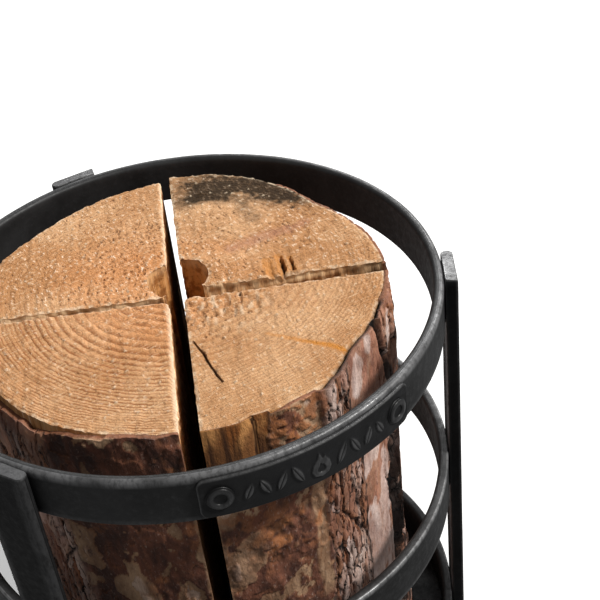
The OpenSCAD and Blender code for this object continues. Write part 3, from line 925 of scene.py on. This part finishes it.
def add_quarter(q, end_grain, side_grain):
    """One quarter of the log's wood, as a closed solid with a sawn top and sawn walls."""
    name = QUARTERS[q]
    outline, outward, tags = quarter_outline(q, 0.9)
    count = len(outline)
    # The top's inner points: a slightly shaken triangular lattice.
    spread, reach, margin, squeeze = 0.78, 106, 0.8, 0.866
    xs, ys = np.meshgrid(np.arange(-reach, reach + 1, spread),
                         np.arange(-reach, reach + 1, spread * squeeze))
    xs = xs + (np.arange(xs.shape[0]) % 2)[:, None] * spread / 2
    xs = xs + 0.22 * (hashed(np.arange(xs.size).reshape(xs.shape), 1, 3) - 0.5)
    inner = np.stack([xs.ravel(), ys.ravel()], -1)
    keep = np.min(past_cuts(q, inner), axis=0) > margin
    keep &= np.hypot(*inner.T) < rim_radius(bearing(inner), 0) - margin
    keep &= np.hypot(*(inner - BORE).T) > BORE_D / 2 + 1.5
    inner = inner[keep]
    if q == FRONT:
        d, _ = path_distance(*inner.T, CRACK)
        line = along_path(np.array(CRACK), 0.45)
        beside = way(-97)[1] * 0.5
        inner = np.concatenate([inner[d > 0.75], line, line + beside, line - beside])
    flat = np.concatenate([outline, inner])
    made = delaunay_2d_cdt([Vector(p) for p in flat], [], [list(range(count))], 1, 1e-5)
    verts = np.array(made[0])
    tris = np.array([f for f in made[2] if len(f) == 3])
    # The outline's points come first, in their own order, and the rest after them.
    place = {origins[0]: k for k, origins in enumerate(made[3]) if origins}
    rim = [place[k] for k in range(count)]
    order = np.concatenate([rim, np.setdiff1d(np.unique(tris), rim)])
    number = np.full(len(verts), -1)
    number[order] = np.arange(len(order))
    tris = number[tris]
    top = verts[order]
    edge = np.full(len(top), 1e9)
    for point in outline:
        edge = np.minimum(edge, np.hypot(*(top - point).T))
    z, fields = top_shape(q, *top.T, edge)
    top_z = LOG_Z[1] + LIFT[name] - SETTLED + z
    # Walls, from the outline down to the foot.
    foot_depth = LOG_Z[1] - LOG_Z[0]
    depth = np.concatenate([np.linspace(0.8, 12, 13), np.linspace(13.5, 60, 27),
                            np.linspace(64, foot_depth - 2, 38), [foot_depth - 0.5]])
    along = np.cumsum(np.linalg.norm(np.diff(outline, axis=0, prepend=outline[-1:]), axis=1))
    ang = bearing(outline)
    d = depth[:, None]
    marks = np.sin(2 * math.pi * (d / 6.5 + along / 60 + 0.5 * noise(along / 30, d / 30, 31)))
    grain = 0.55 * fbm(along / 2.2, d / 26, 33) * (1 + 0.8 * (d < 9))
    push = np.where(tags == RIND, 0.0, -0.35 + 0.28 * marks * (tags == CUT) + grain)
    push = np.where(tags == HOLE, -0.5 + 0.5 * fbm(along / 3, d / 9, 35), push) * rise(d, 0, 2.5)
    shrink = np.where(tags == RIND, rim_radius(ang, d) - rim_radius(ang, 0), 0)
    radial = outline / np.maximum(np.hypot(*outline.T), 1)[:, None]
    rings = outline + outward * push[..., None] + radial * shrink[..., None]
    level = np.minimum(LOG_Z[1] + LIFT[name] - d, top_z[:count] - 0.03 * d)
    walls = np.concatenate([rings, level[..., None]], -1).reshape(-1, 3)
    foot = walls[-count:].copy()
    foot[:, 2] = LOG_Z[0]
    foot[:, :2] -= 0.4 * outward
    points = np.concatenate([np.column_stack([top, top_z]), walls, foot])
    n, here = len(top), np.arange(count)
    after = (here + 1) % count
    rows = len(depth) + 1
    faces = [(tris, 0), (np.stack([here, n + here, n + after, after], -1), 1),
             (grid(rows, count, wrap=True, base=n, flip=True), 1),
             (fan(count, base=n + (rows - 1) * count, flip=True), 0)]
    # The walls' fields, over their depth and the way round.
    levels = np.append(depth, foot_depth)[:, None]
    out = np.hypot(*outline.T)
    on_cut, in_bore = tags == CUT, tags == HOLE
    on_main = np.abs(past_cuts(q, outline)[0 if q % 2 else 1]) < 0.5
    reach = np.where(on_main & (q in (BACK, LEFT)), 11.0, 10.0)
    # Pale torn fibres near the tops of the cut walls, which also paint the light on the upper walls:
    # paler near the top, less so toward the outer end of the cross cuts.
    fray_and_painted_light = 0.9 * fall(levels, 0.8, reach * (1 + 0.4 * noise(along / 2, levels / 4, 37)))
    combed = 0.55 + 0.45 * rise(noise(along / 1.3, levels / 14, 42), -0.4, 0.3)
    combed = np.where(on_main | (q == BACK), 1.0, combed * (1 - 0.6 * rise(out, 56, 80)))
    crack = 0.4 * rise(noise(along / 1.5, levels / 18, 43), 0.2, 0.55) * rise(levels, 2, 5)
    crack = crack * on_cut * ~on_main
    if q == FRONT:
        off = np.abs(ang - FACET_CRACK - 0.5 * noise(levels / 5, 0, 38))
        crack = np.maximum(crack, fall(off, 0.25, 0.75) * (tags == RIND))
    # Painted shadow at the outer end of the right-hand cross cut walls, and painted shade that
    # darkens the walls and the bore further down.
    shaded = 0.7 * rise(out, 74, 95) * on_cut * ~on_main * (q in (RIGHT, FRONT))
    dark_patch_and_painted_shade = 0.85 * np.where(in_bore, rise(levels, 24, 60), rise(levels, 9, 34))
    on_walls = {"fray_and_painted_light": np.clip(fray_and_painted_light * combed * (on_cut + 0.3 * in_bore), 0, 1), "crack": crack,
                "dark_patch_and_painted_shade": np.maximum(dark_patch_and_painted_shade, shaded), "resin": 0.8 * in_bore}
    for key, values in fields.items():
        wall = np.broadcast_to(on_walls.get(key, 0), (rows, count))
        fields[key] = np.concatenate([values, wall.ravel()])
    make_piece("wood_" + name, "quarter_" + name, points, faces,
               [end_grain, side_grain], ["log_" + name], fields, sharp=48)



# Directions in degrees: the broad smooth plate near the right, the strip where a thin layer is
# left, and the black furrow beside the broad plate, at its top and lower down.
PLATE_BAND = (-65.5, -50.0)
BEIGE_BAND = (-84.5, -80.5)
FURROW = (-52.5, -46.0)
# Pale patches on the smooth bark near the top: direction, depth, half width and half height.
PATCHES = [(-65.0, 15, 6.2, 12), (-58.5, 4, 3.0, 6), (-79, 16, 4.4, 6), (-43.5, 14, 2.8, 13)]


def bark_relief(u, z, compass, plated, depth):
    """The bark's thickness over its girth and height, and its colour fields.

    plated is 1 where it is thick and fissured, 0 where thin layers flake off it; depth is
    measured down from the log's top."""

    def churn(wide, tall, seed, octaves=4):
        """Noise stretched over the girth and the height."""
        return fbm(u / wide, z / tall, seed, octaves)

    jag = churn(2.4, 5.5, 101, 3)
    uu = u + 4 * churn(26, 60, 102, 3) + 1.1 * jag
    zz = z + 8 * churn(24, 45, 103, 3) + 2.5 * churn(3, 5, 104, 2)
    bend = compass + 1.6 * fbm(z / 22, u / 90, 128, 3) + 0.35 * jag
    f1, f2, tag = cells(uu / 10, zz / 70, 105)
    g1, g2, tag2 = cells(uu / 4.0 + 3.7, zz / 22, 106)
    # Thick bark: smooth and scaly zones, the broad plate, and the furrow with its flank and bulge.
    left = PLATE_BAND[0] - 4.5 * fall(depth, 25, 55)
    broad = band(bend, left, PLATE_BAND[1], 0.5)
    smooth = np.maximum(rise(tag, 0.60, 0.66), fall(depth, 6, 14))
    smooth = np.maximum(smooth * (1 - band(bend, BEIGE_BAND[1], left, 0.6)), broad)
    lower = rise(depth, 20, 65)
    wide = 2.1 + 2.3 * lower + (0.3 + 1.0 * lower) * noise(depth / 9, 0, 129)
    past = bend - FURROW[0] - (FURROW[1] - FURROW[0]) * rise(depth, 0, 42)
    flank = band(past, 3.5, 9, 0.8)
    bulge = band(past, 2.5, 30, 1.5) * rise(depth, 40, 75)
    smooth = np.maximum(smooth, 0.8 * flank)
    scaly = 1 - smooth
    gap = np.maximum(f2 - f1, 0.5 * broad * (1 - band(bend, PLATE_BAND[1] - 4, PLATE_BAND[1], 0.4)))
    split = g2 - g1
    main = rise(gap, 0.0, 0.10)
    fine = rise(split, 0.02, 0.16)
    furrow = fall(np.abs(past), 0.45 * wide, wide)
    plates = 3.6 + 0.9 * tag * scaly + scaly * (1.2 * tag2 - 1.0 * (1 - fine))
    plates -= (0.6 + 2.2 * smooth + 1.2 * scaly * tag) * (1 - main)
    plates = np.minimum(plates, 5.4) - 3.6 * furrow + 0.5 * broad + 2.6 * bulge
    crumbs = churn(2.6, 9, 143, 3)
    plates += 0.9 * flank * crumbs
    # Thin layers, each with its own colour, which end in small steps.
    layer = 4.4 * fbm(u / 23 + 0.05 * jag, z / 28, 107)
    layer += 0.8 * jag * rise(churn(9, 9, 130), 0, 0.4)
    level, part = np.floor(layer), layer - np.floor(layer)
    terrace = level + rise(part, 0.0, 0.10)
    lip = fall(part, 0.04, 0.22) * rise(part, -0.02, 0.03)
    ridge = 1 - 2.2 * np.abs(fbm((u + 0.5 * z) / 11, (z - 0.4 * u) / 17, 114, 3))
    torn = fall(np.hypot((compass + 92) * 1.7, depth - 76) - 9 * churn(9, 12, 131), 8, 26)
    rough = np.maximum(0.45 * rise(churn(19, 30, 115, 2), 0.05, 0.4), torn)
    scabs = churn(3.2, 5, 116)
    thin = 2.6 + 0.55 * terrace + (0.25 + 0.75 * rough) * (1.2 * ridge + 1.3 * scabs)
    thick = plated * plates + (1 - plated) * thin
    thick = thick + 0.30 * churn(2.2, 6, 108, 3) + 0.5 * churn(40, 90, 109, 2)
    # Colours: cracks, furrows, hollows and steps painted black as shade, pale blotches, and a tone
    # for each plate or thin layer.
    key = hashed(level.astype(np.int64), 3, 110)
    crossed = rise(churn(3, 7, 139), -0.3, 0.15)
    cut = np.maximum(fall(gap, 0.0, 0.07), 0.95 * scaly * crossed * fall(split, 0.0, 0.10))
    side = bend + 0.7 * jag - left
    seam = fall(np.abs(side), 0.25, 0.8) * rise(depth, 7, 12) * (0.6 + 0.4 * crossed)
    # Painted shadow on the flank beside the furrow.
    painted_flank_shade = band(past, -1.2, 1.5 + 8.5 * lower, 0.9) * rise(crumbs, -0.45, -0.15)
    cut = np.maximum(np.maximum(cut * (1 - 0.9 * broad), np.maximum(furrow, 0.92 * painted_flank_shade)), seam)
    # Painted shade at the thin layers' steps and in their hollows.
    step = fall(part, 0.0, 0.08) * rise(churn(6, 9, 132), -0.3, 0.2)
    hollow = fall(ridge + 0.5 * scabs, -0.15, 0.45)
    deep = plated * cut + (1 - plated) * np.maximum(0.75 * step, (0.22 + 0.4 * rough) * hollow)
    blotch = rise(churn(8.5, 22, 111, 3) + 0.15 * jag, -0.10, 0.02) * rise(depth, 30, 48)
    for direction, deep_at, half_wide, half_tall in PATCHES:
        across = (bend - direction) * BARK_LOW * math.radians(1)
        reach = np.hypot(across / half_wide, (depth - deep_at) / half_tall)
        blotch = np.maximum(blotch, fall(reach - 0.3 * churn(4, 7, 141, 3), 0.9, 1.05))
    worn = 0.70 + 0.35 * churn(5, 25, 142, 3)
    pale = plated * np.maximum(np.maximum(smooth, 0.8 * (depth < 30)) * worn * blotch,
                               scaly * rise(tag2, 0.35, 0.9) * 0.6)
    # Painted shade: the lower flank loses its pale blotches.
    pale *= 1 - 0.8 * flank * lower
    pale = np.maximum(pale, (1 - plated) * 0.28 * rise(key, 0.86, 0.90) * (1 - rough))
    beige = band(bend, BEIGE_BAND[0], BEIGE_BAND[1], 0.5) * band(depth, 36, 130, 6)
    tone = np.where(plated > 0.5, 0.12 + 0.35 * tag2, rise(key, 0.64, 0.72) * (1 - 0.8 * rough))
    tone = np.maximum(tone, beige)
    edge = lip * 0.22 + 0.8 * (1 - plated) * rough * rise(fbm(u / 6 + 4, z / 6, 113), 0.0, 0.4)
    edge += 0.35 * plated * scaly * fall(gap, 0.09, 0.2) * (1 - cut)
    fields = {"deep": deep * (1 - beige), "pale": pale * (1 - beige), "edge": edge, "tone": tone,
              "scaly": plated * (0.12 + 0.88 * scaly), "ruddy": plated * (0.45 + 0.55 * smooth),
              "crack": 0.0}
    return np.clip(thick, 0.35, 8.5), {k: np.clip(v, 0, 1) for k, v in fields.items()}


def add_bark(q, material):
    """The bark on one quarter: a closed shell between its saw cuts."""
    name = QUARTERS[q]
    (a, da), (b, db) = cut_lines(q)
    cols, rows, back_rows = 232, 290, 9   # points across the shell, and down its two sides
    height = LOG_Z[1] - LOG_Z[0]

    def sheet(count, radius):
        """Directions across the shell, in a row, and depths down it, in a column."""
        start = a + math.degrees(math.asin(da / radius))
        end = b + 180 - math.degrees(math.asin(db / radius))
        end = start + (end - start) % 360
        degrees = start + (end - start) * np.linspace(0, 1, cols)[None, :]
        depth = np.linspace(0, height, count)[:, None]
        return degrees, depth

    degrees, depth = sheet(rows, BARK_LOW)
    u = np.radians((degrees - CUT_DIR) % 360) * BARK_LOW
    z = height - depth
    compass = (degrees + 180) % 360 - 180
    plated = 1 - fall(compass, -84, -78) * rise(compass, -156, -146)
    plated = rise(np.clip(plated + 0.3 * noise(u / 9, z / 22, 120), 0, 1), 0.35, 0.65)
    thick, fields = bark_relief(u, z, compass, plated, depth)
    # Bark is chipped along its top edge, and gone from a facet beside the front cut.
    beside = band(compass, -92, 33, 4)
    chip = 0.3 + 0.9 * (fbm(u / 5, 0, 121) + 0.5) + 1.6 * rise(noise(u / 13, 0, 122), 0.3, 0.6)
    chip *= 1 - 0.7 * beside
    chip = chip + 4.5 * rise(compass, 30, 40) + 4.5 * fall(compass, -160, -138)
    thin_back = band(compass, -36, 70, 5) * fall(depth, 12, 40)
    thick = thick * (1 - 0.2 * fall(depth, 0, 5)) * (1 - 0.5 * thin_back)
    crumbly = band(compass, -44, -26, 2) * fall(depth, 14, 24)
    thick += crumbly * 0.9 * fbm(u / 1.8, z / 1.8, 126, 2)
    more(fields, "edge", 0.7 * crumbly * rise(noise(u / 2, z / 2, 133), -0.2, 0.5))
    bare = np.zeros(thick.shape)
    if q == FRONT:
        foot = 25 + 3 * noise(u / 4, 0, 123)
        ragged = 0.05 * depth + 1.3 * fbm(depth / 4.5, u / 9, 127, 3)
        bare = fall(compass + ragged, -94.1, -93.6) * fall(depth, foot, foot + 2.5)
        taper = fall(compass + ragged, -94.3, -88.5) * fall(depth, foot, foot + 6)
        thick *= 1 - 0.8 * taper
        thick = thick * (1 - bare) + (0.35 + 0.3 * noise(u / 7, depth / 30, 124)) * bare
        split = np.abs(compass - FACET_CRACK - 0.4 * noise(depth / 6, 0, 125))
        fields["crack"] = fall(split, 0.22, 0.62)
        thick -= 1.2 * bare * fall(split, 0.2, 0.6)
        fields["deep"] *= 1 - bare
        glow = fall(depth + 6 * noise(u / 3, depth / 9, 134), 2, 15) * bare
        fields["tone"] = fields["tone"] * (1 - bare) + glow
        fresh = fall(compass, -84, -78) * (1 - bare) * fall(depth, 16, 30)
        fresh = fresh * rise(fbm(u / 3, depth / 3, 135, 3) + 0.3 * taper, -0.15, 0.15)
        thick += 0.9 * fresh * (1 - taper)
        more(fields, "edge", 0.9 * fresh)
    fields["bare"] = bare
    fields["girth"] = u * MM
    base = rim_radius(compass, depth) + 0.05
    # The main cut leaves a thin pale line on the bark's edges.
    at_cut = np.arange(cols)[None, :] if q % 2 else np.arange(cols)[None, ::-1]
    sawn = fall(at_cut + 0.8 * noise(depth / 6, 0, 136), 0.6, 2.2) * rise(depth, 40, 46)
    more(fields, "tone", sawn)
    fields["deep"] *= 1 - sawn
    top_cut = np.clip(chip * (1 - bare), 0.2, 8) * np.clip(1 - depth / 20, 0, 1)
    up = LOG_Z[0] + np.clip(z, 0.3, None) - top_cut
    # In places the bark has shrunk away from the wood, which leaves a gap at the top, painted black
    # as shade.
    loose = band(compass[0], -79, -43, 1.5) + rise(noise(u[0] / 12, 0, 137), 0.25, 0.6)
    loose = np.clip(loose * (1 - bare[0]), 0.05, 1) * (1 - band(compass[0], 0, 90, 8))
    lip = base[0] + np.minimum(1.6 + 0.5 * noise(u[0] / 4, 0, 138), 0.65 * thick[0])
    sunk = up[0] - 0.1 - 3.0 * loose
    back_deg, back_depth = sheet(back_rows, WOOD_LOW)
    back_r = rim_radius((back_deg + 180) % 360 - 180, back_depth) - 0.25
    back_up = up[-1] + (sunk - up[-1]) * np.linspace(1, 0, back_rows)[:, None]
    points = np.concatenate([polar(base[:1] + 0.1, degrees, sunk), polar(lip, degrees, up[0] + 0.1),
                             polar(base + thick, degrees, up), polar(back_r, back_deg, back_up)])
    # Each field over the groove's bottom, its lip, the outside and the back.
    groove = {"deep": (loose, 0.9 * loose), "edge": (0.2, 0.35), "tone": (0.1, 0.1),
              "ruddy": (0, 0.3), "bare": (bare[0], bare[0])}
    inside = {"deep": 0.25, "edge": 0.5, "tone": 0.2}
    for key, values in fields.items():
        sunk_row, lip_row = groove.get(key, (0, 0))
        parts = [(sunk_row, 1), (lip_row, 1), (values, rows), (inside.get(key, 0), back_rows)]
        fields[key] = np.concatenate([np.broadcast_to(part, (tall, cols)) for part, tall in parts])
    rows += 2   # the groove's two
    n = rows * cols
    c = np.arange(cols - 1)
    last, back_last = (rows - 1) * cols, n + (back_rows - 1) * cols
    top = np.stack([c, c + 1, n + c + 1, n + c], -1)
    foot = np.stack([last + c, back_last + c, back_last + c + 1, last + c + 1], -1)
    edge = np.concatenate([np.arange(rows), rows + np.arange(back_rows)[::-1]])[None, :] * cols
    faces = [(grid(rows, cols, flip=True), 0), (grid(back_rows, cols, base=n), 0), (top, 0),
             (foot, 0), (edge[:, ::-1], 0), (edge + cols - 1, 0)]
    make_piece("bark_skin_" + name, "quarter_" + name, points, faces,
               [material], ["bark_" + name], fields, sharp=60)


# ---- stage, lights and camera ----

def add_camera():
    """From the front left, looking down into the rack, with the camera tipped a little.

    The numbers come from the outlines of the three hoops in the photo."""
    heading, pitch, roll = (math.radians(v) for v in (26.99, 37.1, -6.7))
    forward = Vector((math.sin(heading) * math.cos(pitch), math.cos(heading) * math.cos(pitch),
                      -math.sin(pitch)))
    level = Vector((math.cos(heading), -math.sin(heading), 0))
    upward = level.cross(forward)
    right = level * math.cos(roll) + upward * math.sin(roll)
    top = upward * math.cos(roll) - level * math.sin(roll)
    data = bpy.data.cameras.new("camera")
    data.sensor_width = 36
    data.lens = 72.26
    camera = bpy.data.objects.new("camera", data)
    camera.matrix_world = Matrix((right, top, -forward)).transposed().to_4x4()
    camera.location = (-0.1575, -0.4350, TOP_Z * MM + 0.3322)
    bpy.context.scene.collection.objects.link(camera)
    bpy.context.scene.camera = camera


def place_light(data, power, colour, place, back):
    """A light in the scene at a place, shining the other way from the direction back."""
    data.energy = power
    data.color = colour
    light = bpy.data.objects.new(data.name, data)
    light.location = place
    light.rotation_mode = "QUATERNION"
    light.rotation_quaternion = Vector(back).to_track_quat("Z", "Y")
    bpy.context.scene.collection.objects.link(light)


def add_light(name, place, size, power):
    """A rectangular soft light aimed at the rack."""
    data = bpy.data.lights.new(name, "AREA")
    data.shape = "RECTANGLE"
    data.size, data.size_y = size
    place_light(data, power, (1, 1, 1), place, Vector(place) - Vector((0, 0, 0.22)))


def add_sun(name, azimuth, height, strength, softness, colour):
    """A far soft light from a compass direction and a height, both in degrees."""
    data = bpy.data.lights.new(name, "SUN")
    data.angle = math.radians(softness)
    (out, up), _ = way(height)
    (x, y), _ = way(azimuth)
    place = Vector((x * out, y * out, up))
    place_light(data, strength, colour, place * 2, place)


def add_stage():
    """A pale floor and soft light all round."""
    bpy.ops.mesh.primitive_plane_add(size=8, location=(0, 0, 0))
    ground = bpy.context.object
    ground.name = "ground"
    ground.data.materials.append(floor_material())
    ground.visible_diffuse = False
    ground.visible_glossy = False
    world = bpy.data.worlds.new("world")
    bpy.context.scene.world = world
    world.use_nodes = True
    background = world.node_tree.nodes["Background"]
    background.inputs["Color"].default_value = (1, 1, 1, 1)
    # The backdrop is seen as white, and lights the rack much less than it shows.
    seen = world.node_tree.nodes.new("ShaderNodeLightPath").outputs["Is Camera Ray"]
    strength = times(world.node_tree, seen, 0.75, 0.25)
    put(world.node_tree, background.inputs["Strength"], strength)
    add_sun("key", -43, 48, 3.6, 10, (1, 0.985, 0.955))
    add_light("edge", (1.3, 0.35, 0.95), (0.45, 0.45), 6)
    add_light("behind", (0.95, 1.4, 1.38), (0.8, 0.5), 17)
    bpy.context.scene.view_settings.view_transform = "Standard"


add_camera()
add_stage()

hoop_steel = steel_material("satin_black_hoop", (0.014, 0.0141, 0.0145), (0.17, 0.17, 0.174))
# Darker copies of the hoop steel paint shade: the middle hoop and, darker still, the lowest hoop; the
# middle hoop's bright worn colour paints its highlight line.
mid_steel_painted_shade = steel_material("satin_black_mid_hoop_painted_shade", (0.0105, 0.0106, 0.0109), (0.30, 0.30, 0.304),
                           (0.42, 0.58))
low_steel_painted_shade = steel_material("satin_black_low_hoop_painted_shade", (0.0035, 0.0036, 0.0039), (0.035, 0.035, 0.036),
                           (0.5, 0.65), 1.0, 0.15)
bar_steel = steel_material("satin_black_bar", (0.0055, 0.0056, 0.0059), (0.11, 0.11, 0.113),
                           (0.45, 0.6), 1.0, 0.16)
# The sawn ends are lighter, partly as sawn metal and partly as painted light on the upward top end.
sawn_steel_painted_light = steel_material("sawn_end_painted_light", (0.035, 0.0354, 0.0365), (0.12, 0.12, 0.124), (0.35, 0.5))
plate_steel = steel_material("satin_black_plate", (0.0075, 0.0076, 0.008), (0.09, 0.09, 0.092))
rivet_steel = steel_material("rivet_black", (0.006, 0.0061, 0.0065), (0.14, 0.14, 0.143),
                             (0.34, 0.46))
bead_steel = steel_material("weld_black", (0.006, 0.0062, 0.0067), (0.06, 0.06, 0.063),
                            (0.35, 0.5), 1.6)
# Painted shade: the floor disc is a darker copy of the hoop steel.
disc_steel_painted_shade = steel_material("satin_black_floor_painted_shade", (0.0035, 0.0036, 0.0039), (0.03, 0.03, 0.031),
                            (0.55, 0.7), 1.0, 0.1)

add_hoop("hoop_top", 11, hoop_steel, (1.2, 2.0, 2.4, 1.2))
add_hoop("hoop_middle", 18, mid_steel_painted_shade, (0.9, 0.8, 2.2, 0.9))
add_hoop("hoop_bottom", 25, low_steel_painted_shade, (0.9, 0.8, 2.2, 0.9))
for number, side in enumerate(UPRIGHTS):
    add_upright(side, 31 + 5 * number, bar_steel, sawn_steel_painted_light)
add_floor_plate(disc_steel_painted_shade)
add_nameplate(plate_steel)
add_rivet("rivet_left", -1, rivet_steel)
add_rivet("rivet_right", 1, rivet_steel)
for level in ("top", "middle", "bottom"):
    for side in UPRIGHTS:
        add_bead(level, side, bead_steel)

end_grain, side_grain, bark = end_grain_material(), side_grain_material(), bark_material()
for q in range(4):
    add_quarter(q, end_grain, side_grain)
    add_bark(q, bark)
